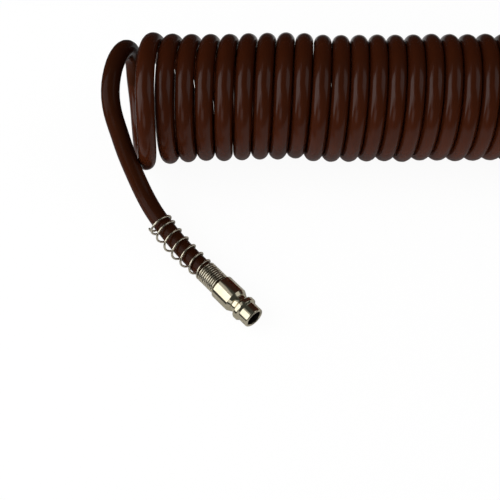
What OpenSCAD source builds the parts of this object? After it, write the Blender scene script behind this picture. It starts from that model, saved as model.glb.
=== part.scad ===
// Recoil air hose: a coiled plastic tube with a plug nipple on one end and a
// quick-release coupler on the other, each behind a spring bend guard.
// Millimetres, +Z up. The coil lies along X on the floor, z = 0, and the origin
// is on the floor under the turn in the middle of the coil.

/* [Hose] */
// Outside diameter of the hose
hose_d = 8; // [7.6:0.1:8.4]
// Bore of the hose
hose_bore = 5; // [4.6:0.1:5.2]
// Radius of the coil, axis to middle of the hose
coil_r = 26; // [24:0.5:28]
// Gap between one turn and the next
coil_gap = 0.6; // [0.5:0.1:2]
// Full turns in the coil
coil_turns = 28; // [12:1:32]
// Extra radius of the end turn by the plug, where the coil opens
end_flare = 4; // [2:0.5:5]
// How far the end turn by the plug leans to the front
end_lean = 7; // [5:0.5:8]
// How far the end turns by the plug tip over, for each mm of height
end_fan = 0.07; // [0:0.01:0.08]

/* [Spring guards] */
// Wire diameter
guard_wire = 1.1; // [0.9:0.1:1.2]
// Open turns, over the free hose
guard_open_turns = 7; // [5:1:8]
// Pitch of the open turns
guard_open_pitch = 5.2; // [4.6:0.1:5.4]
// Close turns, over the hose tail
guard_close_turns = 7; // [4:1:7]

/* [Plug] */
// Diameter of the nose, which enters the coupler's seal
plug_nose_d = 10; // [9.6:0.1:10.2]
// Diameter of the bead that the coupler's balls lock behind
plug_bead_d = 12; // [11.8:0.1:12.4]
// Diameter of the neck behind the bead
plug_neck_d = 9.2; // [8.8:0.1:9.4]
// Bore at the nose
plug_bore = 7.2; // [6.4:0.1:7.4]
// Diameter of the collar
plug_collar_d = 12; // [11.8:0.1:12.4]
// Length of the collar
plug_collar_len = 10.8; // [9:0.2:14]

/* [Coupler] */
// Wall of the release sleeve over its spring
sleeve_wall = 1.4; // [1.4:0.1:2.2]
// Travel of the release sleeve
sleeve_travel = 4; // [3.5:0.5:4.5]
// Diameter of the locking balls
ball_d = 4; // [3.6:0.1:4]
// Travel of the shut-off valve
valve_travel = 5.6; // [4.5:0.1:6]
// Hexagon of the coupler body, across flats
body_hex = 22; // [21:0.5:23]
// Hexagon of the hose adapter, across flats
adapter_hex = 19; // [17:0.5:20]

/* [Hidden] */

// Fits
slide_clear = 0.05;
seat_clear = 0.02;
loose_clear = 0.15;

// Hose and coil. The coil has eight rings to a turn and rests on the flat side
// between two rings, which lies a tenth of the hose's diameter above the
// lowest point of the round hose.
hose_r = hose_d / 2;
pitch = hose_d + coil_gap;
coil_sides = 6;
tail_sides = 10;
turn_rings = 8;
hex_flat = hose_r * cos(180 / coil_sides);
step_angle = 360 / turn_rings;
rest_cos = cos(step_angle / 2);
ring_r = (coil_r + hose_r - hose_d / 10) / rest_cos - hex_flat;
coil_x0 = -(floor(coil_turns / 2) + 0.25) * pitch;
coil_rings = coil_turns * turn_rings + 2;
end_spread = 8.4;
end_spread_coupler = 3;
flare_rate = 1.1;
spread_rate = 2.5;
open_rate = 14;
open_turn = 0.355;
fan_from = 0.6;
fan_turns = 5.5;

// Plug, measured back from the tip of its nose
bead_front = 6.0;
bead_back = 8.0;
ramp_len = 0.8;
neck_front = 9.4;
neck_back = 11.0;
neck_step = 0.5;
collar_lead = 1.7;
collar_front = 11.6;
collar_back = collar_front + plug_collar_len;
edge = 0.4;
nose_bore_back = collar_front + 3;
stem_bore_r = 1.75;
stem_bore_front = nose_bore_back + 3;
barb_root_r = hose_bore / 2 - 0.05;
barb_crest_r = hose_bore / 2 + 0.35;
barbs = 3;
barb_pitch = 3.6;
barb_root = 0.8;
barb_len = barbs * barb_pitch + barb_root;
hose_end_len = barb_len + 1.4;

// The plug lies on the floor, turned towards the front
left_x = coil_x0 - end_spread;
plug_yaw = -48;
plug_reach = 60.7;
plug_y = -108.5;
plug_tip = [left_x + plug_reach, plug_y, max(plug_bead_d, plug_collar_d) / 2];
plug_dir = [cos(plug_yaw), sin(plug_yaw), 0];

// Coupler, measured back from its mouth
socket_r = plug_bead_d / 2 + 0.1;
mouth_r = socket_r + 0.3;
mouth_lead = 0.5;
mouth_back = 3.2;
ball_r = ball_d / 2;
ball_depth = 5.5;
ball_in = 1.0;
ball_lift = 1.0;
ball_at = socket_r - ball_in + ball_r;
balls = 6;
barrel_r = socket_r + 2.4;
chamber_r = socket_r + 1.15;
seal_front = 10.9;
seal_back = 13.0;
sleeve_bore_r = barrel_r + slide_clear;
chamber_wall_r = barrel_r + 2.3;
sleeve_r = chamber_wall_r + sleeve_wall;
ring_front = 0.5;
ring_back = 1.5;
ring_groove = 0.5;
ring_split = 2.4;
ball_land_r = ball_at + ball_r + 0.1;
ball_land_depth = ring_back + sleeve_travel;
land_front = 7.8;
land_back = 10.2;
barrel_back = 22;
sleeve_back = 26;
guide_back = sleeve_back + sleeve_travel + 1;
hex_back = guide_back + 7;
adapter_front = guide_back + 0.2;
adapter_hex_back = hex_back + 6;
adapter_back = adapter_hex_back + 2;
spigot_r = 8;
adapter_bore_r = 3.6;
adapter_collar_r = 6.2;
adapter_stem_front = hex_back + 3;

// Ring seal in its groove round the adapter's spigot
seal_ring_r = 0.52;
seal_groove_depth = 1.1;
seal_groove_len = 1.7;
seal_groove_from = hex_back - 3;
seal_groove_to = seal_groove_from + seal_groove_len;

spring_seat = adapter_front;
valve_disc_front = seal_back + seat_clear;
valve_disc_len = 2;
valve_disc_back = valve_disc_front + valve_disc_len;
valve_skirt_back = valve_disc_back + 6.5;
valve_tube_front = 10.4;
valve_wall = 1.2;
coupler_y = -62;
coupler_reach = 56;
right_x = coil_x0 + (coil_rings + 0.5) / turn_rings * pitch + end_spread_coupler;
coupler_face = [right_x + coupler_reach, coupler_y, sleeve_r];
coupler_mouth = coupler_face + [adapter_back, 0, 0];

// Release sleeve's rounded front and the grooves that give it a grip
sleeve_nose = 1.2;
grip_front = 6;
grips = 5;
grip_pitch = 3;
grip_outline = [[0.6, 0.6], [0.6, 1.6], [0, 2.2], [0, grip_pitch]];

// Spring guards
guard_r = hose_r + 0.45 + guard_wire / 2;
guard_close_pitch = guard_wire + 0.5;
guard_start = guard_wire * 0.55 + seat_clear;
wire_sides = 6;

// Inner springs
valve_spring_wire = 0.8;
valve_spring_r = 4.6;
valve_spring_turns = 6;
sleeve_spring_wire = 1.0;
sleeve_spring_r = (barrel_r + loose_clear + sleeve_spring_wire / 2) / rest_cos;
sleeve_spring_turns = 4;

function unit(v) = v / norm(v);

// One ring of n points round c, square to direction t, with a flat facing side
function ring(c, t, side, r, n) =
    let (u = unit(side - (side * t) * t), w = cross(t, u))
    [for (i = [0 : n - 1]) c + r * (cos(360 * (i + 0.5) / n) * u + sin(360 * (i + 0.5) / n) * w)];

// A closed tube through rings of equal count
module tube(rings) {
    n = len(rings[0]);
    last = (len(rings) - 1) * n;
    polyhedron(
        points = [for (r = rings) each r],
        faces = [
            for (i = [1 : n - 2]) [0, i, i + 1],
            for (i = [1 : n - 2]) [last, last + i + 1, last + i],
            for (k = [0 : n : last - n], i = [0 : n - 1])
                let (j = (i + 1) % n)
                each [[k + i, k + n + i, k + n + j], [k + i, k + n + j, k + j]]
        ]
    );
}

// Direction of a path at point i, which halves the bend there
function heading(path, i) =
    i == 0 ? unit(path[1] - path[0])
    : i == len(path) - 1 ? unit(path[i] - path[i - 1])
    : unit(unit(path[i] - path[i - 1]) + unit(path[i + 1] - path[i]));

// Least gap of a tube of diameter d to itself, between points at least skip apart
function self_gap(points, d, skip) =
    let (n = len(points) - 1)
    min([for (i = [0 : n - skip], j = [i + skip : n]) norm(points[i] - points[j])]) - d;

// Coil: t counts turns from the far side of the plug's end turn
function flare(t) = end_flare * exp(-flare_rate * t);
function coil_radius(t) = ring_r + flare(t);
function coil_angle(t) = -360 * t;
function coil_x(t) =
    coil_x0 + pitch * t
    - end_spread / (1 + exp(open_rate * (t - open_turn)))
    + end_spread_coupler * exp(-spread_rate * (ring_turn(coil_rings) - t));
function coil_lean(t) = -end_lean * exp(-flare_rate * t);
function coil_axis(t) = [coil_x(t), coil_lean(t), (coil_radius(t) + hex_flat) * rest_cos];
function out_dir(t) = [0, cos(coil_angle(t)), sin(coil_angle(t))];
function coil_fan(t) = end_fan * exp(-pow(t / fan_turns, 2)) * (1 - exp(-pow(t / fan_from, 4)));
function coil_point(t) =
    let (p = coil_axis(t) + coil_radius(t) * out_dir(t))
    p - [coil_fan(t) * (p[2] - hose_r), 0, 0];
function ring_turn(k) = (k + 0.5) / turn_rings;
function coil_heading(t) = cross([1, 0, 0], -out_dir(t));

plug_run = [0, 0, 1];
coupler_run = [0, -1, 0];
plug_end = coil_point(ring_turn(0)) + hose_d * plug_run;
last_point = coil_point(ring_turn(coil_rings));
coupler_end = [last_point[0], last_point[1] - hose_d, hose_r * cos(180 / tail_sides)];

coil_points = [for (k = [0 : coil_rings]) coil_point(ring_turn(k))];

module hose_coil() {
    color("#3c221c")
        tube(concat(
            [ring(plug_end, -plug_run, [0, 1, 0], hose_r, coil_sides)],
            [for (k = [0 : coil_rings])
                ring(coil_points[k], coil_heading(ring_turn(k)), out_dir(ring_turn(k)), hose_r, coil_sides)],
            [ring(coupler_end, coupler_run, [0, 0, -1], hose_r, coil_sides)]
        ));
}

// Free stretch to the plug: over the top of the coil, past its open end and
// down to the floor. Points are x from the coil's end, y and z.
tail_points = [
    [0.7, 22, 37.8],
    [-0.4, 17.2, 45.8],
    [-2.2, 9.6, 51],
    [-4, 0.6, 53.2],
    [-5.3, -8.8, 51.5],
    [-5.4, -16.3, 47.3],
    [-4.2, -21.8, 42.2],
    [-2, -27, 37],
    [0.4, -32.6, 31],
    [4.8, -41, 24],
    [9.8, -49.5, 17.2],
    [15, -57, 12.4],
    [20.5, -63.5, 9.4],
    [27.2, -71.4, 7.1]
];
hose_end_plug_at = plug_tip - (collar_back + hose_end_len) * plug_dir;
plug_route = concat(
    [plug_end, plug_end + hose_r * plug_run],
    [for (p = tail_points) p + [left_x, 0, 0]],
    [hose_end_plug_at - hose_r * plug_dir, hose_end_plug_at]
);

// Free stretch to the coupler: along the floor, then up to the coupler's axis.
// Points are x from the coil's end, y and z.
coupler_tail_points = [
    [0.5, -30, 5],
    [3, -42, 6.5],
    [9.5, -53, 8.5],
    [20.5, -60, 10.5]
];
hose_end_coupler_at = coupler_face - [hose_end_len, 0, 0];
coupler_route = concat(
    [coupler_end, coupler_end - [0, hose_r, 0]],
    [for (p = coupler_tail_points) p + [right_x, 0, 0]],
    [hose_end_coupler_at - [6, 0, 0], hose_end_coupler_at]
);

module free_hose(path, side) {
    color("#3c221c")
        tube([for (i = [0 : len(path) - 1]) ring(path[i], heading(path, i), side, hose_r, tail_sides)]);
}

module hose_tail_plug() {
    free_hose(plug_route, [1, 0, 0]);
}

module hose_tail_coupler() {
    free_hose(coupler_route, [0, 0, 1]);
}

// Places a piece drawn along +Z, with z = 0 at the plug's tip
module at_plug() {
    translate(plug_tip) rotate([0, 90, plug_yaw]) children();
}

// The same for the coupler, with z = 0 at its mouth
module at_coupler() {
    translate(coupler_mouth) rotate([0, 90, 0]) children();
}

// Half outline of the barbed stem behind a face at z = -face
function barb_outline(face, grow) = concat(
    [[0, -face], [barb_root_r + grow, -face], [barb_root_r + grow, -face - barb_root]],
    [for (i = [0 : barbs - 1], p = [[barb_crest_r, 0], [barb_root_r, barb_pitch]])
        [p[0] + grow, -face - barb_root - i * barb_pitch - p[1]]],
    [[0, -face - barb_len]]
);

// Last stretch of hose, pushed over a barbed stem up to the face at z = -face
module hose_end(face) {
    difference() {
        translate([0, 0, -face - hose_end_len]) cylinder(r = hose_r, h = hose_end_len, $fn = 64);
        translate([0, 0, -face - hose_end_len - 1])
            cylinder(r = hose_bore / 2, h = hose_end_len + 2, $fn = 64);
        rotate_extrude($fn = 64) polygon(barb_outline(face - seat_clear, seat_clear));
    }
}

module hose_end_plug() {
    color("#3c221c") at_plug() hose_end(collar_back);
}

module hose_end_coupler() {
    color("#3c221c") at_coupler() hose_end(adapter_back);
}

// Plug nipple: nose, bead, neck, collar and barbed stem on one through bore
module plug_nipple() {
    nose_r = plug_nose_d / 2;
    bead_r = plug_bead_d / 2;
    neck_r = plug_neck_d / 2;
    collar_r = plug_collar_d / 2;
    color("#cfcabb")
        at_plug()
        difference() {
            union() {
                rotate_extrude($fn = 96)
                    polygon([
                        [0, 0],
                        [nose_r - edge, 0],
                        [nose_r, -edge],
                        [nose_r, -bead_front + ramp_len],
                        [bead_r - edge / 2, -bead_front],
                        [bead_r, -bead_front - edge / 2],
                        [bead_r, -bead_back + edge / 2],
                        [bead_r - edge / 2, -bead_back],
                        [neck_r, -neck_front],
                        [neck_r, -neck_back],
                        [neck_r + neck_step, -neck_back],
                        [collar_r, -neck_back - collar_lead],
                        [collar_r, -collar_back + edge],
                        [collar_r - edge, -collar_back],
                        [0, -collar_back]
                    ]);
                rotate_extrude($fn = 64) polygon(barb_outline(collar_back - seat_clear, 0));
            }
            rotate_extrude($fn = 64)
                polygon([
                    [0, 1],
                    [plug_bore / 2, 1],
                    [plug_bore / 2, -nose_bore_back],
                    [stem_bore_r, -stem_bore_front],
                    [stem_bore_r, -collar_back - barb_len - 1],
                    [0, -collar_back - barb_len - 1]
                ]);
        }
}

// Distance along a path at each of its points
function run_lengths(path) =
    [for (i = 0, s = 0; i < len(path); i = i + 1, s = s + (i < len(path) ? norm(path[i] - path[i - 1]) : 0)) s];

// Point at distance s along a path, and the mean direction of the hose there
function at_run(path, lens, s) =
    [for (a = [0 : 2]) lookup(s, [for (i = [0 : len(path) - 1]) [lens[i], path[i][a]]])];
function run_heading(path, lens, s) = unit(at_run(path, lens, s + 3) - at_run(path, lens, max(s - 3, 0)));

// Guard: distance from the end face at turn u, close turns first
function guard_run(u) =
    guard_start + min(u, guard_close_turns) * guard_close_pitch
    + max(u - guard_close_turns, 0) * guard_open_pitch;
guard_turns = guard_close_turns + guard_open_turns;

function wound_point(path, lens, s, angle, r) =
    let (t = run_heading(path, lens, s), u = unit(cross(t, [0, 0, 1])), w = cross(t, u))
    at_run(path, lens, s) + r * (cos(angle) * u + sin(angle) * w);

function guard_points(path) =
    let (lens = run_lengths(path))
    [for (k = [0 : guard_turns * turn_rings])
        let (u = k / turn_rings)
        wound_point(path, lens, guard_run(u), 360 * u, guard_r)];

// Wire through points, whose two ends run straight for one diameter
module wire(points, d, axis) {
    n = len(points) - 1;
    first = unit(points[0] - points[1]);
    final = unit(points[n] - points[n - 1]);
    path = concat([points[0] + d * first], points, [points[n] + d * final]);
    tube([for (i = [0 : n + 2]) ring(path[i], heading(path, i), axis, d / 2, wire_sides)]);
}

function reversed(path) = [for (i = [len(path) - 1 : -1 : 0]) path[i]];
plug_guard_path = concat([plug_tip - collar_back * plug_dir], reversed(plug_route));
coupler_guard_path = concat([coupler_face], reversed(coupler_route));
plug_guard_points = guard_points(plug_guard_path);
coupler_guard_points = guard_points(coupler_guard_path);

module plug_guard() {
    color("#b9b29c") wire(plug_guard_points, guard_wire, plug_dir);
}

module coupler_guard() {
    color("#b9b29c") wire(coupler_guard_points, guard_wire, [1, 0, 0]);
}

// Hexagon across flats, with flats up and down once laid along X
module hex_bar(flats, from, to) {
    translate([0, 0, -to]) rotate([0, 0, 30]) cylinder(r = flats / 2 / cos(30), h = to - from, $fn = 6);
}

// Hose adapter: spigot in the coupler body, hexagon, collar and barbed stem
module hose_adapter() {
    color("#cfcabb")
        at_coupler()
        difference() {
            union() {
                rotate_extrude($fn = 96)
                    polygon([
                        [0, -adapter_front],
                        [spigot_r - slide_clear - edge, -adapter_front],
                        [spigot_r - slide_clear, -adapter_front - edge],
                        [spigot_r - slide_clear, -seal_groove_from],
                        [spigot_r - seal_groove_depth, -seal_groove_from],
                        [spigot_r - seal_groove_depth, -seal_groove_to],
                        [spigot_r - slide_clear, -seal_groove_to],
                        [spigot_r - slide_clear, -hex_back - 1],
                        [0, -hex_back - 1]
                    ]);
                intersection() {
                    hex_bar(adapter_hex, hex_back, adapter_hex_back);
                    rotate_extrude($fn = 96)
                        polygon([
                            [0, -hex_back],
                            [adapter_hex / 2 + 1, -hex_back],
                            [adapter_hex / 2 + 1, -adapter_hex_back + 1],
                            [adapter_hex / 2, -adapter_hex_back],
                            [0, -adapter_hex_back]
                        ]);
                }
                translate([0, 0, -adapter_back])
                    cylinder(r = adapter_collar_r, h = adapter_back - adapter_hex_back + edge, $fn = 96);
                rotate_extrude($fn = 64) polygon(barb_outline(adapter_back - seat_clear, 0));
            }
            rotate_extrude($fn = 64)
                polygon([
                    [0, -adapter_front + 1],
                    [adapter_bore_r, -adapter_front + 1],
                    [adapter_bore_r, -hex_back],
                    [stem_bore_r, -adapter_stem_front],
                    [stem_bore_r, -adapter_back - barb_len - 1],
                    [0, -adapter_back - barb_len - 1]
                ]);
        }
}

// Ring seal in the adapter's groove
module adapter_seal() {
    color("#1d1d1d")
        at_coupler()
        translate([0, 0, -(seal_groove_from + seal_groove_to) / 2])
        rotate_extrude($fn = 96)
        translate([spigot_r - seal_groove_depth / 2, 0])
        circle(r = seal_ring_r, $fn = 32);
}

// Coupler body: barrel with the socket and ball seats, sleeve guide, hexagon
module coupler_body() {
    color("#cfcabb")
        at_coupler()
        difference() {
            union() {
                rotate_extrude($fn = 96)
                    polygon([
                        [0, 0],
                        [barrel_r - edge, 0],
                        [barrel_r, -ring_front + 0.1],
                        [barrel_r, -ring_front],
                        [barrel_r - ring_groove, -ring_front],
                        [barrel_r - ring_groove, -ring_back],
                        [barrel_r, -ring_back],
                        [barrel_r, -barrel_back],
                        [chamber_wall_r - slide_clear - edge, -barrel_back],
                        [chamber_wall_r - slide_clear, -barrel_back - edge],
                        [chamber_wall_r - slide_clear, -guide_back - 1],
                        [0, -guide_back - 1]
                    ]);
                intersection() {
                    hex_bar(body_hex, guide_back, hex_back);
                    rotate_extrude($fn = 96)
                        polygon([
                            [0, -guide_back],
                            [body_hex / 2, -guide_back],
                            [body_hex / 2 + 1, -guide_back - 1],
                            [body_hex / 2 + 1, -hex_back + 1],
                            [body_hex / 2, -hex_back],
                            [0, -hex_back]
                        ]);
                }
            }
            rotate_extrude($fn = 96)
                polygon([
                    [0, 1],
                    [mouth_r + mouth_lead + 1, 1],
                    [mouth_r, -mouth_lead],
                    [mouth_r, -mouth_back],
                    [socket_r, -mouth_back],
                    [socket_r, -seal_front],
                    [chamber_r, -seal_front],
                    [chamber_r, -guide_back],
                    [spigot_r, -guide_back],
                    [spigot_r, -hex_back - 1],
                    [0, -hex_back - 1]
                ]);
            for (i = [0 : balls - 1])
                rotate([0, 0, 360 * i / balls + 30])
                translate([ball_at, 0, -ball_depth]) {
                    sphere(r = ball_r + slide_clear, $fn = 64);
                    rotate([0, 90, 0]) cylinder(r = ball_r + slide_clear, h = barrel_r, $fn = 64);
                }
        }
}

// Lip seal that the nose enters and the valve closes on
module mouth_seal() {
    color("#1d1d1d")
        at_coupler()
        rotate_extrude($fn = 96)
        polygon([
            [plug_nose_d / 2 + slide_clear, -seal_front - 0.5],
            [plug_nose_d / 2 + 0.6, -seal_front - seat_clear],
            [chamber_r - seat_clear, -seal_front - seat_clear],
            [chamber_r - seat_clear, -seal_back],
            [plug_nose_d / 2 + slide_clear, -seal_back]
        ]);
}

// Shut-off valve: windowed tube that the nose pushes, disc and guide skirt
module valve_poppet() {
    tube_r = plug_nose_d / 2 - loose_clear;
    skirt_r = chamber_r - slide_clear;
    disc_r = skirt_r - 0.8;
    window = 3.2;
    port = 4;
    across = 2 * chamber_r + 1;
    color("#d8d2c0")
        at_coupler()
        difference() {
            union() {
                translate([0, 0, -valve_disc_front - 0.5])
                    cylinder(r = tube_r, h = valve_disc_front + 0.5 - valve_tube_front, $fn = 96);
                translate([0, 0, -valve_disc_back])
                    cylinder(r = disc_r, h = valve_disc_len, $fn = 96);
                translate([0, 0, -valve_skirt_back])
                    cylinder(r = skirt_r, h = valve_skirt_back - valve_disc_back, $fn = 96);
            }
            translate([0, 0, -valve_disc_front])
                cylinder(r = tube_r - valve_wall, h = valve_disc_front - valve_tube_front + 1, $fn = 64);
            translate([0, 0, -valve_skirt_back - 1])
                cylinder(r = skirt_r - valve_wall, h = valve_skirt_back - valve_disc_back + 1, $fn = 64);
            for (i = [0, 1])
                rotate([0, 0, 90 * i + 45]) {
                    translate([-across / 2, -window / 2, -valve_disc_front])
                        cube([across, window, 1.8]);
                    translate([-across / 2, -port / 2, -valve_disc_back - 3.5])
                        cube([across, port, 3.5]);
                }
        }
}

// Points of a straight spring along the coupler's axis, between two depths
function spring_points(from, to, turns, r, d) =
    [for (k = [0 : turns * turn_rings])
        let (u = k / (turns * turn_rings), a = 360 * turns * u, z = from + d / 2 + u * (to - from - d))
        coupler_mouth + [-z, r * cos(a), r * sin(a)]];

valve_spring_points =
    spring_points(valve_disc_back + seat_clear, spring_seat - seat_clear,
        valve_spring_turns, valve_spring_r, valve_spring_wire);
sleeve_spring_points =
    spring_points(land_back + seat_clear, barrel_back - seat_clear,
        sleeve_spring_turns, sleeve_spring_r, sleeve_spring_wire);

module valve_spring() {
    color("#b9b29c") wire(valve_spring_points, valve_spring_wire, [1, 0, 0]);
}

module sleeve_spring() {
    color("#b9b29c") wire(sleeve_spring_points, sleeve_spring_wire, [1, 0, 0]);
}

// Release sleeve: the cone over the balls widens towards the mouth, so pulling
// the sleeve back lets them move out
module release_sleeve() {
    color("#cfcabb")
        at_coupler()
        rotate_extrude($fn = 96)
        polygon(concat(
            [
                [chamber_wall_r, 0],
                [sleeve_r - sleeve_nose, 0],
                [sleeve_r - sleeve_nose / 3, -sleeve_nose / 2],
                [sleeve_r, -sleeve_nose * 5 / 3],
                [sleeve_r, -grip_front]
            ],
            [for (i = [0 : grips - 1], p = grip_outline)
                [sleeve_r - p[0], -grip_front - i * grip_pitch - p[1]]],
            [
                [sleeve_r, -sleeve_back + 1],
                [sleeve_r - sleeve_nose * 2 / 3, -sleeve_back],
                [chamber_wall_r, -sleeve_back],
                [chamber_wall_r, -land_back],
                [sleeve_bore_r, -land_back],
                [sleeve_bore_r, -land_front],
                [ball_land_r, -land_front],
                [ball_land_r, -ball_land_depth],
                [ball_land_r + ball_lift, -ring_back],
                [chamber_wall_r, -ring_back]
            ]
        ));
}

// Snap ring that keeps the sleeve on the barrel
module retaining_ring() {
    color("#b9b29c")
        at_coupler()
        difference() {
            translate([0, 0, -ring_back + seat_clear])
                cylinder(r = chamber_wall_r - loose_clear, h = ring_back - ring_front - 2 * seat_clear, $fn = 96);
            translate([0, 0, -ring_back - 1])
                cylinder(r = barrel_r - ring_groove + seat_clear, h = ring_back + 2, $fn = 96);
            translate([0, -ring_split / 2, -ring_back - 1])
                cube([chamber_wall_r + 1, ring_split, ring_back + 2]);
        }
}

// Locking ball i, counted round the barrel from 1
module ball(i) {
    color("#dcdcdc")
        at_coupler()
        rotate([0, 0, 360 * (i - 1) / balls + 30])
        translate([ball_at, 0, -ball_depth])
        sphere(r = ball_r, $fn = 64);
}

hose_coil();
hose_tail_plug();
hose_end_plug();
plug_nipple();
plug_guard();
hose_tail_coupler();
hose_end_coupler();
coupler_guard();
hose_adapter();
adapter_seal();
coupler_body();
mouth_seal();
valve_poppet();
valve_spring();
release_sleeve();
sleeve_spring();
retaining_ring();
ball(1);  // ball_1
ball(2);  // ball_2
ball(3);  // ball_3
ball(4);  // ball_4
ball(5);  // ball_5
ball(6);  // ball_6

// Least gaps of the wound tubes to themselves
echo(coil_self_gap = self_gap(coil_points, hose_d, turn_rings - 1));
echo(plug_guard_self_gap = self_gap(plug_guard_points, guard_wire, turn_rings - 1));
echo(coupler_guard_self_gap = self_gap(coupler_guard_points, guard_wire, turn_rings - 1));
echo(valve_spring_self_gap = self_gap(valve_spring_points, valve_spring_wire, turn_rings - 1));
echo(sleeve_spring_self_gap = self_gap(sleeve_spring_points, sleeve_spring_wire, turn_rings - 1));
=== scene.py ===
"""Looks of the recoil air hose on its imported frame.

The object's lengths are written in millimetres and built in metres. Camera, floor, lamps and the
distances inside materials are in metres.
"""

import math

import bpy
import numpy as np
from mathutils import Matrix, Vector


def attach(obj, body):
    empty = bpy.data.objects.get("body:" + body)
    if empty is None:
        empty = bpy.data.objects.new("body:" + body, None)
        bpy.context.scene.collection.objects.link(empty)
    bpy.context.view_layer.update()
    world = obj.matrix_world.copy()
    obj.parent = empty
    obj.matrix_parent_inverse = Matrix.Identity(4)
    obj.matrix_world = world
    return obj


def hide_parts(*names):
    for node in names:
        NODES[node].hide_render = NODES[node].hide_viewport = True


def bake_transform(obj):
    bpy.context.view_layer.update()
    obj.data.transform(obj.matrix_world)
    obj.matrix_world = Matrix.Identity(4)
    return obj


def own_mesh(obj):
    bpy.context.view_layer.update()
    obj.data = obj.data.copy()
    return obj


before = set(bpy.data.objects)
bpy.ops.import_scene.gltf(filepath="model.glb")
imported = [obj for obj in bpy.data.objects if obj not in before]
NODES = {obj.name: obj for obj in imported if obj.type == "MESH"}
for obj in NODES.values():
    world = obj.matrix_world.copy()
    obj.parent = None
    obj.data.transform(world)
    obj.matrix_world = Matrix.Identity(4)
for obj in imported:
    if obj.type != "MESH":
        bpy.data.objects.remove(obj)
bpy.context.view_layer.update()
MM = 0.001

# ---------------------------------------------------------------- camera

CAMERA_PLACE = (-0.0684, -0.32042, 0.38155)
CAMERA_TILT = math.radians(33.5)


def make_camera():
    data = bpy.data.cameras.new("camera")
    data.lens = 70
    data.sensor_width = 36
    data.shift_x = -0.017
    data.shift_y = -0.001
    data.clip_start = 0.01
    data.clip_end = 20
    cam = bpy.data.objects.new("camera", data)
    cam.location = CAMERA_PLACE
    cam.rotation_euler = (CAMERA_TILT, 0, 0)
    bpy.context.scene.collection.objects.link(cam)
    bpy.context.scene.camera = cam


make_camera()

# ---------------------------------------------------------------- the hose's sizes and route

X_AXIS = np.array([1.0, 0.0, 0.0])
Z_AXIS = np.array([0.0, 0.0, 1.0])

# Wider than the CAD hose by 0.29 mm, so that the turns just touch, as they do in the photo
HOSE_R = 4.29
HOSE_SIDES = 24
ROUTE_STEP = 3.4
# Height of the hose's middle where a turn rests on the floor
REST_R = 4.15

# The coil's values, as in the part's source
COIL_R = 26.0
PITCH = 8.6
COIL_X0 = -122.55
END_SPREAD = 8.4
END_SPREAD_COUPLER = 3.0
END_FLARE = 4.0
END_LEAN = 7.0
END_FAN = 0.07
FLARE_RATE = 1.1
SPREAD_RATE = 2.5
OPEN_RATE = 14
OPEN_TURN = 0.355
FAN_FROM = 0.6
FAN_TURNS = 5.5

# Turns between the points of the coil, its first and last point, and where its two ends lie along x
TURN_STEP = 0.0625
FIRST_TURN = 0.0625
LAST_TURN = 28.25
LEFT_X = COIL_X0 - END_SPREAD
RIGHT_X = 123.9375

# Plug and coupler, placed as in the part's source
PLUG_TIP = np.array([-70.25, -108.5, 6.0])
PLUG_YAW = math.radians(-48)
PLUG_DIR = np.array([math.cos(PLUG_YAW), math.sin(PLUG_YAW), 0.0])
COLLAR_BACK = 22.4
COUPLER_FACE = np.array([179.9375, -62.0, 12.2])
COUPLER_MOUTH = np.array([225.9375, -62.0, 12.2])

# How far from its fitting each point of the hose's straight ends lies
PLUG_STRAIGHT = (0.0, 4.0, 8.0, 12.0, 15.5)
COUPLER_STRAIGHT = (13.0, 8.0, 4.0, 0.0)

# Free stretch to the plug, from the coil on: x from the coil's end, y and z. It runs up to about 5 mm
# lower than the CAD one, in the direction of the camera's sight.
PLUG_TAIL = (
    (0.9, 22.9, 33.2),
    (0.6, 21.2, 39.8),
    (-0.6, 16.4, 46.7),
    (-2.4, 8.8, 51.3),
    (-4.1, 0.0, 53.0),
    (-5.3, -8.8, 51.4),
    (-5.4, -16.3, 47.2),
    (-4.2, -21.8, 42.2),
    (-2.3, -25.7, 35.0),
    (0.0, -30.3, 27.5),
    (4.2, -37.7, 19.0),
    (9.2, -46.2, 12.2),
    (14.6, -54.7, 9.0),
    (20.2, -62.2, 7.4),
    (27.1, -71.0, 6.5),
)

# Free stretch to the coupler, from the coil on: x from the coil's other end, y and z
COUPLER_TAIL = (
    (0.0, -11.5, 4.0),
    (0.1, -20.5, 4.05),
    (0.6, -30.0, 4.6),
    (3.2, -42.0, 6.3),
    (9.6, -52.8, 8.5),
    (20.5, -59.8, 10.7),
    (31.0, -62.0, 12.0),
    (37.5, -62.0, 12.2),
)

# How far back from the row each turn lies, as relaxed turns do, and the place in a turn (its lower
# front) where it lies so
SWAY = (
    0.0, 0.0, -0.3, 0.1, -0.2, 0.3, 0.75, 0.75, 1.4, -0.3, -0.7, -0.7, -0.45, -0.3,
    -0.75, 0.15, 0.1, -0.3, 0.0, 0.3, -0.4, 0.1, 0.5, -0.2, -0.5, 0.2, 0.0, 0.0,
)
SWAY_TURN = 0.407


def unit(v):
    v = np.asarray(v, float)
    return v / np.linalg.norm(v)


def reached(points):
    """Distance along the points, at each of them."""
    steps = np.linalg.norm(np.diff(points, axis=0), axis=1)
    return np.concatenate([[0], np.cumsum(steps)])


def tangents(line):
    """Direction of the line at each of its points."""
    t = np.gradient(line, axis=0)
    return t / np.linalg.norm(t, axis=1)[:, None]


def sway(t):
    """How far back the hose lies at turn t, eased from one turn's value to the next."""
    # The least bit short of the last value, which then is still there to ease towards
    at = min(max(t - SWAY_TURN, 0.0), len(SWAY) - 1.001)
    k = int(at)
    part = at - k
    part = part * part * (3 - 2 * part)
    return SWAY[k] * (1 - part) + SWAY[k + 1] * part


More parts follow.
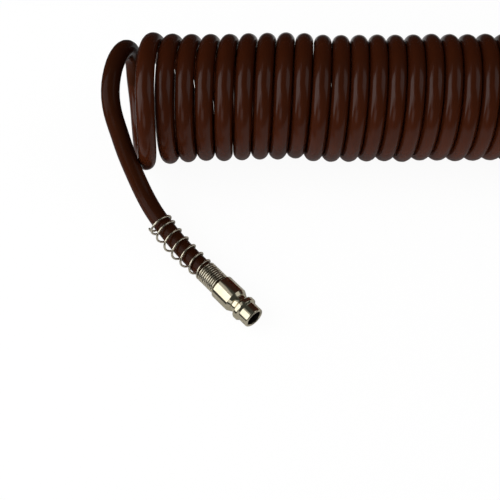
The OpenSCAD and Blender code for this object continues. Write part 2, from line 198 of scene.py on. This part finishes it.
def coil_point(t):
    """Middle of the hose at turn t, counted from the far side of the plug's end turn."""
    flare = math.exp(-FLARE_RATE * t)
    r = COIL_R + END_FLARE * flare
    a = -2 * math.pi * t
    x = (
        COIL_X0
        + PITCH * t
        - END_SPREAD / (1 + math.exp(OPEN_RATE * (t - OPEN_TURN)))
        + END_SPREAD_COUPLER * math.exp(-SPREAD_RATE * (LAST_TURN + TURN_STEP - t))
    )
    y = r * math.cos(a) - END_LEAN * flare + sway(t)
    z = r + REST_R + r * math.sin(a)
    fan = END_FAN * math.exp(-((t / FAN_TURNS) ** 2)) * (1 - math.exp(-((t / FAN_FROM) ** 4)))
    return (x - fan * (z - REST_R), y, z)


def smooth_curve(points, step):
    """
    A curve with even bends through the points. Returns its points, the distance along it of each
    given point, and that of each of its own points.
    """
    p = np.asarray(points, float)
    s = reached(p)
    n = len(p)
    h = np.diff(s)
    a = np.zeros((n, n))
    b = np.zeros((n, 3))
    a[0, 0] = a[-1, -1] = 1
    for i in range(1, n - 1):
        a[i, i - 1 : i + 2] = h[i - 1], 2 * (h[i - 1] + h[i]), h[i]
        b[i] = 6 * ((p[i + 1] - p[i]) / h[i] - (p[i] - p[i - 1]) / h[i - 1])
    m = np.linalg.solve(a, b)
    q = np.linspace(0, s[-1], int(round(s[-1] / step)) + 1)
    i = np.clip(np.searchsorted(s, q, side="right") - 1, 0, n - 2)
    u = (q - s[i])[:, None]
    hi = h[i][:, None]
    v = hi - u
    out = (
        (m[i] * v**3 + m[i + 1] * u**3) / (6 * hi)
        + (p[i] / hi - m[i] * hi / 6) * v
        + (p[i + 1] / hi - m[i + 1] * hi / 6) * u
    )
    return out, s, q


def hose_route():
    """
    Middle line of the whole hose, from the plug's collar to the coupler's face, and how much of the
    coil's stretch each of its points takes part in, from 0 to 1.
    """
    back = PLUG_TIP - COLLAR_BACK * PLUG_DIR
    start = [back - d * PLUG_DIR for d in PLUG_STRAIGHT]
    tail = [np.array([LEFT_X + x, y, z]) for x, y, z in reversed(PLUG_TAIL)]
    turns = np.arange(FIRST_TURN, LAST_TURN + 1e-6, TURN_STEP)
    coil = [np.array(coil_point(t)) for t in turns]
    end = [np.array([RIGHT_X + x, y, z]) for x, y, z in COUPLER_TAIL]
    end += [COUPLER_FACE - d * X_AXIS for d in COUPLER_STRAIGHT]
    line, s, q = smooth_curve(start + tail + coil + end, ROUTE_STEP)
    first = len(start) + len(tail)
    share = np.interp(q, s[first : first + len(coil)], np.linspace(0, 1, len(coil)))
    return line, share


# ---------------------------------------------------------------- mesh helpers

# A tube that starts steeper than this (z of its direction) takes its first side from X, not from Z
STEEP = 0.9
# Share of a tube's radius that the bevel of its ends takes, and the most of a step that it may take
TUBE_BEVEL = 0.15
BEVEL_STEP = 0.4
# Steps round a rounded corner of a profile, and the most of a neighbouring edge that it may take
CORNER_STEPS = 4
CORNER_EDGE = 0.45
SHARP_ANGLE = math.radians(35)


def new_mesh(name, verts, faces, smooth=True):
    mesh = bpy.data.meshes.new(name)
    mesh.from_pydata([tuple(v) for v in verts], [], faces)
    mesh.update()
    if smooth:
        mesh.polygons.foreach_set("use_smooth", [True] * len(mesh.polygons))
    obj = bpy.data.objects.new(name, mesh)
    bpy.context.scene.collection.objects.link(obj)
    return obj


def tube(name, line, radius, sides):
    """
    A round tube along the line (mm). Each end is closed, with a bevel, by one ring more than the line
    has points.
    """
    line = np.asarray(line, float)
    radius = np.broadcast_to(radius, len(line))
    t = tangents(line)
    side = unit(np.cross(t[0], Z_AXIS if abs(t[0][2]) < STEEP else X_AXIS))
    side_dirs = []
    for tk in t:
        side = unit(side - (side @ tk) * tk)
        side_dirs.append(side)
    bevel = radius[0] * TUBE_BEVEL
    centres = line.copy()
    centres[0] += t[0] * min(bevel, BEVEL_STEP * np.linalg.norm(line[1] - line[0]))
    centres[-1] -= t[-1] * min(bevel, BEVEL_STEP * np.linalg.norm(line[-1] - line[-2]))
    rings = list(zip(centres, t, side_dirs, radius))
    rings.insert(0, (line[0], t[0], side_dirs[0], radius[0] * (1 - TUBE_BEVEL)))
    rings.append((line[-1], t[-1], side_dirs[-1], radius[-1] * (1 - TUBE_BEVEL)))

    verts = []
    for c, tk, u, r in rings:
        w = np.cross(tk, u)
        for i in range(sides):
            a = 2 * math.pi * i / sides
            verts.append((c + r * (math.cos(a) * u + math.sin(a) * w)) * MM)
    faces = []
    for low in range(0, (len(rings) - 1) * sides, sides):
        high = low + sides
        for i in range(sides):
            j = (i + 1) % sides
            faces.append((low + i, low + j, high + j, high + i))
    last = (len(rings) - 1) * sides
    faces.append(tuple(reversed(range(sides))))
    faces.append(tuple(range(last, last + sides)))
    obj = new_mesh(name, verts, faces)
    for cap in obj.data.polygons[-2:]:
        cap.use_smooth = False

    # UV: along the tube in centimetres, and once round it. The last side's faces end at 1, not at 0.
    along = reached([ring[0] for ring in rings]) / 10
    uv = obj.data.uv_layers.new(name="UVMap")
    for poly in obj.data.polygons:
        closing = len(poly.vertices) == 4 and any(v % sides == sides - 1 for v in poly.vertices)
        for v, loop in zip(poly.vertices, poly.loop_indices):
            k, i = divmod(v, sides)
            around = 1.0 if closing and i == 0 else i / sides
            uv.data[loop].uv = (along[k], around)
    return obj


def rounded(profile):
    """Profile of (r, z, fillet) corners to plain points, each corner rounded by its fillet."""
    n = len(profile)
    out = []
    for i, (r, z, fillet) in enumerate(profile):
        p = np.array([r, z], float)
        if fillet <= 0:
            out.append(tuple(p))
            continue
        a = np.array(profile[(i - 1) % n][:2], float) - p
        b = np.array(profile[(i + 1) % n][:2], float) - p
        la, lb = np.linalg.norm(a), np.linalg.norm(b)
        a, b = a / la, b / lb
        half = math.acos(max(-1, min(1, float(a @ b)))) / 2
        d = min(fillet / max(math.tan(half), 1e-3), CORNER_EDGE * la, CORNER_EDGE * lb)
        p0, p1 = p + a * d, p + b * d
        for k in range(CORNER_STEPS + 1):
            s = k / CORNER_STEPS
            out.append(tuple((1 - s) ** 2 * p0 + 2 * s * (1 - s) * p + s * s * p1))
    return out


def lathe(name, profile, origin, forward, segs):
    """
    Closed profile of (radius, distance back from the origin) turned round the axis that points
    forward.
    """
    forward = unit(forward)
    u = unit(np.cross(forward, Z_AXIS))
    w = np.cross(forward, u)
    verts, faces = [], []
    n = len(profile)
    for i in range(segs):
        a = 2 * math.pi * i / segs
        d = math.cos(a) * u + math.sin(a) * w
        for r, z in profile:
            verts.append((origin - z * forward + r * d) * MM)
    for i in range(segs):
        j = (i + 1) % segs
        for k in range(n):
            m = (k + 1) % n
            faces.append((i * n + k, i * n + m, j * n + m, j * n + k))
    obj = new_mesh(name, verts, faces)
    mesh = obj.data
    # A profile that runs the other way has its faces inside out, which makes the volume negative
    if sum(f.center.dot(f.normal) * f.area for f in mesh.polygons) < 0:
        mesh.flip_normals()
    mesh.set_sharp_from_angle(angle=SHARP_ANGLE)
    return obj


# ---------------------------------------------------------------- materials

WHITE = (1, 1, 1, 1)


class Wiring:
    """Short way to make a tree's nodes and join them."""

    def __init__(self, tree):
        self.tree = tree
        tree.nodes.clear()

    def node(self, kind, **props):
        n = self.tree.nodes.new(kind)
        for k, v in props.items():
            setattr(n, k, v)
        return n

    def link(self, a, out, b, inp):
        self.tree.links.new(a.outputs[out], b.inputs[inp])

    def ramp(self, source, out, *stops):
        """Colour that goes from one stop to the other. A stop is its place and its colour."""
        r = self.node("ShaderNodeValToRGB")
        for element, (place, colour) in zip(r.color_ramp.elements, stops):
            element.position = place
            element.color = (*colour, 1)
        self.link(source, out, r, "Fac")
        return r

    def spread(self, source, out, lo, hi, between=(0.3, 0.7)):
        """The source's value, taken from the range between two values to the range lo to hi."""
        m = self.node("ShaderNodeMapRange")
        m.inputs["From Min"].default_value, m.inputs["From Max"].default_value = between
        m.inputs["To Min"].default_value, m.inputs["To Max"].default_value = lo, hi
        self.link(source, out, m, "Value")
        return m

    def times(self, source, out, factor):
        """The source's value times a number."""
        n = self.node("ShaderNodeMath", operation="MULTIPLY")
        n.inputs[1].default_value = factor
        self.link(source, out, n, 0)
        return n

    def shine(self, kind, strength=1.0):
        """A white emission or background."""
        n = self.node(kind)
        n.inputs["Color"].default_value = WHITE
        n.inputs["Strength"].default_value = strength
        return n

    def choose(self, source, out, shader_0, shader_1):
        """The first shader where the source is 0 and the second where it is 1."""
        n = self.node("ShaderNodeMixShader")
        self.link(source, out, n, "Fac")
        self.link(shader_0, 0, n, 1)
        self.link(shader_1, 0, n, 2)
        return n


class Mat(Wiring):
    """
    A material, with its shader and the patterns that vary it. Values are the shader's plain ones, which
    stay underneath where a pattern varies them.
    """

    def __init__(self, name, **values):
        self.mat = bpy.data.materials.new(name)
        self.mat.use_nodes = True
        super().__init__(self.mat.node_tree)
        self.out = self.node("ShaderNodeOutputMaterial")
        self.bsdf = self.node("ShaderNodeBsdfPrincipled")
        self.link(self.bsdf, "BSDF", self.out, "Surface")
        for k, v in values.items():
            self.bsdf.inputs[k.replace("_", " ")].default_value = v

    def coords(self, scale=(1, 1, 1), uv=False):
        tc = self.node("ShaderNodeTexCoord")
        mp = self.node("ShaderNodeMapping")
        mp.inputs["Scale"].default_value = scale
        self.link(tc, "UV" if uv else "Object", mp, "Vector")
        return mp

    def noise(self, scale, detail, rough=0.55, source=None):
        if source is None:
            source = self.coords()
        n = self.node("ShaderNodeTexNoise")
        n.inputs["Scale"].default_value = scale
        n.inputs["Detail"].default_value = detail
        n.inputs["Roughness"].default_value = rough
        self.link(source, "Vector", n, "Vector")
        return n

    def bump(self, source, strength, distance, below=None):
        b = self.node("ShaderNodeBump")
        b.inputs["Strength"].default_value = strength
        b.inputs["Distance"].default_value = distance
        self.link(source, "Fac", b, "Height")
        if below is not None:
            self.link(below, "Normal", b, "Normal")
        return b

    def vary_colour(self, noise, *stops):
        self.link(self.ramp(noise, "Fac", *stops), "Color", self.bsdf, "Base Color")

    def vary_rough(self, noise, lo, hi):
        self.link(self.spread(noise, "Fac", lo, hi), "Result", self.bsdf, "Roughness")

    def raise_by(self, bump):
        self.link(bump, "Normal", self.bsdf, "Normal")


def hose_material(name, dark, light, specular):
    """Glossy extruded plastic, from a dark to a light tone of its colour."""
    m = Mat(name, Roughness=0.15, IOR=1.5, Specular_IOR_Level=specular)
    m.vary_colour(m.noise(scale=35, detail=3), (0.3, dark), (0.7, light))
    m.vary_rough(m.noise(scale=900, detail=5), 0.12, 0.2)
    # Faint lines that the extruder's die leaves along the hose, and a slow waviness
    lines = m.noise(scale=3, detail=3, source=m.coords((0.12, 55, 1), uv=True))
    wave = m.bump(m.noise(scale=160, detail=2), strength=0.12, distance=0.0002)
    m.raise_by(m.bump(lines, strength=0.10, distance=0.00005, below=wave))
    return m.mat


def metal_material(name, light, dark, axis, rough=(0.10, 0.2), lathe_lines=0.25, edge=0.0):
    """
    Plated turned metal. Rough is the range of its roughness, lathe_lines the strength of the fine tool
    lines round the axis, and edge the radius of its softened edges.
    """
    m = Mat(name, Metallic=1.0, Roughness=0.15)
    m.vary_colour(m.noise(scale=220, detail=6, rough=0.6), (0.35, dark), (0.62, light))
    m.vary_rough(m.noise(scale=700, detail=5, rough=0.65), *rough)
    tc = m.node("ShaderNodeTexCoord")
    along = m.node("ShaderNodeVectorMath", operation="DOT_PRODUCT")
    along.inputs[1].default_value = tuple(axis)
    m.link(tc, "Object", along, 0)
    lines = m.node("ShaderNodeTexNoise", noise_dimensions="1D")
    lines.inputs["Scale"].default_value = 5200
    lines.inputs["Detail"].default_value = 3
    m.link(along, "Value", lines, "W")
    soft_edge = None
    if edge > 0:
        soft_edge = m.node("ShaderNodeBevel", samples=6)
        soft_edge.inputs["Radius"].default_value = edge
    turned = m.bump(lines, strength=lathe_lines, distance=0.00001, below=soft_edge)
    pits = m.noise(scale=1800, detail=3)
    m.raise_by(m.bump(pits, strength=0.05, distance=0.00002, below=turned))
    return m.mat


def rubber_material():
    m = Mat("black_rubber", Roughness=0.5)
    grain = m.noise(scale=900, detail=5)
    m.vary_colour(grain, (0.3, (0.012, 0.012, 0.012)), (0.7, (0.022, 0.022, 0.021)))
    m.vary_rough(grain, 0.42, 0.6)
    m.raise_by(m.bump(grain, strength=0.2, distance=0.00003))
    return m.mat


# Near-black metal whose colour paints the shade inside the plug's bore
def bore_shade_material():
    m = Mat("bore_painted_shade", Metallic=1.0, Roughness=0.45)
    grain = m.noise(scale=600, detail=5)
    m.vary_colour(grain, (0.3, (0.05, 0.042, 0.035)), (0.7, (0.09, 0.078, 0.062)))
    m.vary_rough(grain, 0.38, 0.55)
    return m.mat


NICKEL = ((0.76, 0.69, 0.52), (0.66, 0.595, 0.44))
WIRE = ((0.88, 0.81, 0.65), (0.72, 0.66, 0.52))
BRASS = ((0.80, 0.60, 0.30), (0.66, 0.46, 0.20))
CHROME = ((0.80, 0.80, 0.79), (0.74, 0.74, 0.73))
# The wire lies in every direction, so its lines cross the object at a slant
WIRE_AXIS = (0.3, 0.5, 0.8)

hose_mat = hose_material(
    "hose_gloss", dark=(0.049, 0.0100, 0.0026), light=(0.059, 0.0122, 0.0034), specular=0.24
)
# The free stretches, which hands hold, have a duller skin than the coil, and a darker colour that is
# painted shade
handled_shaded_mat = hose_material(
    "hose_handled_painted_shade", dark=(0.034, 0.0086, 0.0029), light=(0.041, 0.0103, 0.0035), specular=0.075
)
plug_mat = metal_material("nickel_plug", *NICKEL, PLUG_DIR, rough=(0.07, 0.14), lathe_lines=0.12)
nickel_mat = metal_material("nickel_coupler", *NICKEL, X_AXIS, edge=0.00025)
wire_mat = metal_material(
    "guard_wire_nickel", *WIRE, WIRE_AXIS, rough=(0.13, 0.26), lathe_lines=0.05
)
brass_mat = metal_material("valve_brass", *BRASS, X_AXIS, edge=0.0002)
ball_mat = metal_material("ball_chrome", *CHROME, X_AXIS, rough=(0.03, 0.07), lathe_lines=0.02)
rubber_mat = rubber_material()
bore_shade_mat = bore_shade_material()


def dress(obj, *mats):
    obj.data.materials.clear()
    for mat in mats:
        obj.data.materials.append(mat)


# ---------------------------------------------------------------- hose

line, share = hose_route()
hose = tube("air_hose", line, HOSE_R, HOSE_SIDES)
ring_share = np.concatenate([[share[0]], share, [share[-1]]])
dress(hose, hose_mat, handled_shaded_mat)
# Faces on the free stretches take the duller copy, whose darker colour is painted shade
for face in hose.data.polygons:
    if not 0 < ring_share[min(face.vertices) // HOSE_SIDES] < 1:
        face.material_index = 1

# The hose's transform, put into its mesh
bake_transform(hose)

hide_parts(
    "hose_coil",
    "hose_tail_plug",
    "hose_end_plug",
    "hose_tail_coupler",
    "hose_end_coupler",
)

# ---------------------------------------------------------------- spring guards

WIRE_SIDES = 10
# Points to a turn of the guards' wire, and how far on each side its path's direction is taken
GUARD_STEPS = 28
GUARD_LOOK = 3
# Points of the hose's route, from its end on, that a guard is wound over
GUARD_REACH = 60

# The wire's radius in the close turns by the fitting and in the open turns
CLOSE_WIRE_R = 0.44
OPEN_WIRE_R = 0.53
CLOSE_TURNS = 9.5
CLOSE_PITCH = 1.13
CLOSE_R = 4.76
# Gap between the wire and the fitting
GUARD_GAP = 0.05
# Each open turn: step along the hose, radius, how far it hangs to the side
OPEN_STEPS = (
    (4.9, 5.0, 0.2),
    (5.6, 5.35, 0.5),
    (5.6, 5.55, 0.7),
    (5.4, 5.65, 0.8),
    (6.0, 5.7, 0.8),
    (4.6, 5.7, 0.8),
    (1.4, 5.7, 0.8),
)


def guard_marks():
    """
    Where the wire is at the end of each stretch: its turn, distance along the path, radius of the
    winding, how far it hangs to one side, and the wire's own radius.
    """
    start = OPEN_WIRE_R + GUARD_GAP
    marks = [
        (0, start, CLOSE_R, 0, CLOSE_WIRE_R),
        (CLOSE_TURNS, start + CLOSE_TURNS * CLOSE_PITCH, CLOSE_R, 0, CLOSE_WIRE_R),
    ]
    for step, r, hang in OPEN_STEPS:
        marks.append((marks[-1][0] + 1, marks[-1][1] + step, r, hang, OPEN_WIRE_R))
    return np.array(marks, float)


def wound(path, marks):
    """Wire wound on a path (mm) by its marks. Returns the wire's middle line and its radii."""
    s = reached(path)
    n = int(round((marks[-1, 0] - marks[0, 0]) * GUARD_STEPS))
    turns = np.linspace(marks[0, 0], marks[-1, 0], n + 1)
    soft = GUARD_STEPS // 2
    kernel = np.ones(soft) / soft

    def eased(column):
        v = np.interp(turns, marks[:, 0], marks[:, column])
        v = np.concatenate([2 * v[0] - v[soft:0:-1], v, 2 * v[-1] - v[-2 : -soft - 2 : -1]])
        return np.convolve(v, kernel, mode="same")[soft:-soft]

    def on_path(d):
        return np.array([np.interp(d, s, path[:, k]) for k in range(3)])

    out = []
    for turn, d, r, hang in zip(turns, eased(1), eased(2), eased(3)):
        t = unit(on_path(d + GUARD_LOOK) - on_path(max(d - GUARD_LOOK, 0)))
        a = unit(np.cross(t, Z_AXIS))
        b = np.cross(t, a)
        angle = 2 * math.pi * turn
        out.append(on_path(d) - hang * a + r * (math.cos(angle) * a + math.sin(angle) * b))
    return np.array(out), eased(4)


def finish_wire(obj, body, node):
    """What every wound wire gets: its looks, its body, and the CAD node that it stands for."""
    dress(obj, wire_mat)
    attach(obj, body)
    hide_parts(node)


def make_guard(name, path, body, node):
    wire, radii = wound(path, guard_marks())
    finish_wire(tube(name, wire, radii, WIRE_SIDES), body, node)


make_guard("plug_guard_wire", line[:GUARD_REACH], "hose_and_plug", "plug_guard")
make_guard("coupler_guard_wire", line[::-1][:GUARD_REACH], "coupler_end", "coupler_guard")

# ---------------------------------------------------------------- inner springs

# Points to a turn
SPRING_STEPS = 24
# The end turns lie nearly closed, as ground spring ends do: turns from each end, and the share of the
# spring's length reached there
END_TURNS = 0.9
END_SHARES = (0, 0.055, 0.945, 1)


def inner_spring(name, node, start, stop, turns, r, wire_r):
    """
    A spring round the coupler's axis. Start and stop are distances back from the coupler's mouth.
    """
    n = int(turns * SPRING_STEPS)
    k = np.arange(n + 1) / n
    a = 2 * math.pi * turns * k
    along = np.interp(k * turns, (0, END_TURNS, turns - END_TURNS, turns), END_SHARES)
    back = start + wire_r + along * (stop - start - 2 * wire_r)
    x, y, z = COUPLER_MOUTH
    wire = np.stack([x - back, y + r * np.cos(a), z + r * np.sin(a)], 1)
    obj = tube(name, wire, wire_r, WIRE_SIDES)
    finish_wire(obj, "coupler_end", node)
    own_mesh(obj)


inner_spring(
    "valve_spring_wire", "valve_spring",
    start=15.04, stop=31.18, turns=6, r=4.6, wire_r=0.4,
)
inner_spring(
    "sleeve_spring_wire", "sleeve_spring",
    start=10.22, stop=21.98, turns=4, r=9.2, wire_r=0.5,
)

# ---------------------------------------------------------------- plug

# Outline from the nose back, then the bore forward again: radius, distance from the tip, rounding
PLUG_OUTLINE = (
    (3.62, 0.25, 0.1),
    (3.9, 0.0, 0.12),
    (4.62, 0.0, 0.25),
    (5.0, 0.4, 0.25),
    (5.0, 5.15, 0.25),
    (5.95, 5.95, 0.3),
    (6.0, 6.3, 0.25),
    (6.0, 7.75, 0.3),
    (5.6, 8.35, 0.25),
    (4.65, 8.95, 0.25),
    (4.62, 9.3, 0.2),
    (4.62, 10.85, 0.12),
    (5.1, 11.0, 0.12),
    (5.15, 11.15, 0.1),
    (6.0, 12.75, 0.35),
    (6.0, 22.05, 0.25),
    (5.7, 22.4, 0.1),
    (2.45, 22.4, 0.0),
    (2.45, 23.2, 0.0),
    (2.85, 23.2, 0.0),
    (2.45, 26.8, 0.0),
    (2.85, 26.8, 0.0),
    (2.45, 30.4, 0.0),
    (2.85, 30.4, 0.0),
    (2.45, 34.0, 0.0),
    (1.75, 34.0, 0.0),
    (1.75, 17.6, 0.0),
    (3.6, 14.6, 0.0),
)
PLUG_SEGMENTS = 112
# The bore, in a near-black metal that is painted shade: faces within this radius of the axis, and more
# than this far back from the tip
BORE_R = 3.63
BORE_FROM = 0.9

plug = lathe("plug_body", rounded(PLUG_OUTLINE), PLUG_TIP, PLUG_DIR, PLUG_SEGMENTS)
dress(plug, plug_mat, bore_shade_mat)
plug_dir = Vector(PLUG_DIR)
plug_tip = Vector(PLUG_TIP * MM)
for face in plug.data.polygons:
    back = (plug_tip - face.center).dot(plug_dir)
    off_axis = (face.center - plug_tip + back * plug_dir).length
    if off_axis < BORE_R * MM and back > BORE_FROM * MM:
        face.material_index = 1
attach(plug, "hose_and_plug")
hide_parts("plug_nipple")

# ---------------------------------------------------------------- CAD nodes that keep their shape

for names, mat in (
    (("hose_adapter", "coupler_body", "release_sleeve"), nickel_mat),
    (("retaining_ring",), wire_mat),
    (("adapter_seal", "mouth_seal"), rubber_mat),
    (("valve_poppet",), brass_mat),
    (tuple(f"ball_{i}" for i in range(1, 7)), ball_mat),
):
    for name in names:
        node = NODES[name]
        if not node.material_slots:
            node.data.materials.append(mat)
        for slot in node.material_slots:
            slot.material = mat

# ---------------------------------------------------------------- studio

FLOOR_HALF = 6.0
FLOOR_Z = -0.0002
# The floor's white as the camera sees it, how much of what the camera sees is that white, and how
# strongly the floor lights what stands over it
FLOOR_SEEN = 1.07
FLOOR_SEEN_SHARE = 0.88
FLOOR_GLOW = 1.4
# Painted light and shade on the floor that only gloss sees, which paints what the object reflects:
# round edges, each a place, two distances from it, and the floor's level within the first and beyond
# the second
FLOOR_GLOSS_PAINTED_LIGHT = (
    # A painted pool of light under the object, with painted dark further out
    ((0.0, -0.06, 0.0), (0.16, 0.22), (0.84, 0.08)),
    # The shade under the first turn and the free stretch, deeper than these soft lamps leave it
    ((-0.123, -0.039, 0.0), (0.011, 0.016), (0.05, 1.0)),
    # Painted shade on the floor to the left of the plug
    ((-0.155, -0.125, 0.0), (0.046, 0.056), (0.1, 1.0)),
)
# Sockets of a Mix node that mixes colours
MIX_FACTOR, MIX_A, MIX_B, MIX_RESULT = 0, 6, 7, 2

# How strongly the room lights the object, and what gloss sees of it, by Generated y: a dim room in
# front, with a red brown wall behind
ROOM_LIGHT = 0.22
ROOM_FRONT = (0.44, (0.05, 0.054, 0.05))
ROOM_WALL = (0.56, (0.035, 0.016, 0.012))

# Name, place, target, size, watts, whether gloss sees it
LAMPS = (
    ("softbox_left", (-0.872, -0.163, 0.455), (-0.08, -0.08, 0.01), (0.75, 1.0), 3.85, True),
    ("softbox_front", (-0.53, -0.55, 0.62), (-0.12, -0.04, 0.02), (0.4, 0.4), 0.4, True),
    ("softbox_upper", (-0.45, 0.06, 0.80), (-0.08, -0.10, 0.01), (0.5, 0.19), 0.13, True),
    ("softbox_right", (0.74, -0.07, 0.60), (-0.05, -0.06, 0.01), (0.6, 0.8), 0.9, True),
    ("softbox_low", (-0.34, -0.88, 0.32), (-0.1, -0.08, 0.02), (0.45, 0.35), 0.38, True),
    ("softbox_top", (0.1, -0.1, 1.0), (0.0, 0.0, 0.0), (1.0, 1.0), 0.3, False),
)


def make_floor():
    corners = [(-1, -1), (1, -1), (1, 1), (-1, 1)]
    verts = [(x * FLOOR_HALF, y * FLOOR_HALF, FLOOR_Z) for x, y in corners]
    floor = new_mesh("floor", verts, [(0, 1, 2, 3)], smooth=False)
    m = Mat("floor_white", Roughness=0.9, Specular_IOR_Level=0.0)
    cloud = m.noise(scale=6, detail=2)
    colour = m.ramp(cloud, "Fac", (0.3, (0.90, 0.90, 0.90)), (0.7, (0.92, 0.92, 0.92)))
    path = m.node("ShaderNodeLightPath")

    # What gloss sees, painted light and shade: the product of the levels round each place
    tc = m.node("ShaderNodeTexCoord")
    painted_gloss_level = None
    for place, between, (inner, outer) in FLOOR_GLOSS_PAINTED_LIGHT:
        off = m.node("ShaderNodeVectorMath", operation="DISTANCE")
        off.inputs[1].default_value = place
        m.link(tc, "Object", off, 0)
        edge = m.spread(off, "Value", inner, outer, between)
        if painted_gloss_level is None:
            painted_gloss_level = edge
            continue
        both = m.node("ShaderNodeMath", operation="MULTIPLY")
        m.link(painted_gloss_level, 0, both, 0)
        m.link(edge, 0, both, 1)
        painted_gloss_level = both
    mix = m.node("ShaderNodeMix", data_type="RGBA")
    m.link(path, "Is Glossy Ray", mix, MIX_FACTOR)
    m.link(colour, "Color", mix, MIX_A)
    m.link(painted_gloss_level, 0, mix, MIX_B)
    m.link(mix, MIX_RESULT, m.bsdf, "Base Color")

    # As a light table, the floor lights what stands over it
    table = m.shine("ShaderNodeEmission")
    m.link(m.times(path, "Is Diffuse Ray", FLOOR_GLOW), "Value", table, "Strength")
    lit = m.node("ShaderNodeAddShader")
    m.link(m.bsdf, "BSDF", lit, 0)
    m.link(table, "Emission", lit, 1)
    # Seen directly it is nearly white, with a little of its shadows
    seen = m.times(path, "Is Camera Ray", FLOOR_SEEN_SHARE)
    white = m.shine("ShaderNodeEmission", FLOOR_SEEN)
    m.link(m.choose(seen, "Value", lit, white), "Shader", m.out, "Surface")
    dress(floor, m.mat)


def make_world():
    world = bpy.data.worlds.new("studio")
    bpy.context.scene.world = world
    world.use_nodes = True
    w = Wiring(world.node_tree)
    out = w.node("ShaderNodeOutputWorld")
    path = w.node("ShaderNodeLightPath")
    fill = w.shine("ShaderNodeBackground", ROOM_LIGHT)
    seen = w.shine("ShaderNodeBackground")
    tc = w.node("ShaderNodeTexCoord")
    split = w.node("ShaderNodeSeparateXYZ")
    w.link(tc, "Generated", split, "Vector")
    gloss = w.shine("ShaderNodeBackground")
    w.link(w.ramp(split, "Y", ROOM_FRONT, ROOM_WALL), "Color", gloss, "Color")
    either = w.node("ShaderNodeMath", operation="MAXIMUM")
    w.link(path, "Is Glossy Ray", either, 0)
    w.link(path, "Is Transmission Ray", either, 1)
    unseen = w.choose(either, "Value", fill, gloss)
    w.link(w.choose(path, "Is Camera Ray", unseen, seen), "Shader", out, "Surface")


def area_light(name, place, target, size, energy, gloss):
    data = bpy.data.lights.new(name, "AREA")
    data.shape = "RECTANGLE"
    data.size, data.size_y = size
    data.energy = energy
    lamp = bpy.data.objects.new(name, data)
    lamp.location = place
    aim = Vector(target) - Vector(place)
    lamp.rotation_euler = aim.to_track_quat("-Z", "Y").to_euler()
    lamp.visible_glossy = gloss
    lamp.visible_camera = False
    bpy.context.scene.collection.objects.link(lamp)


make_floor()
make_world()
for lamp in LAMPS:
    area_light(*lamp)

scene = bpy.context.scene
scene.view_settings.view_transform = "Standard"
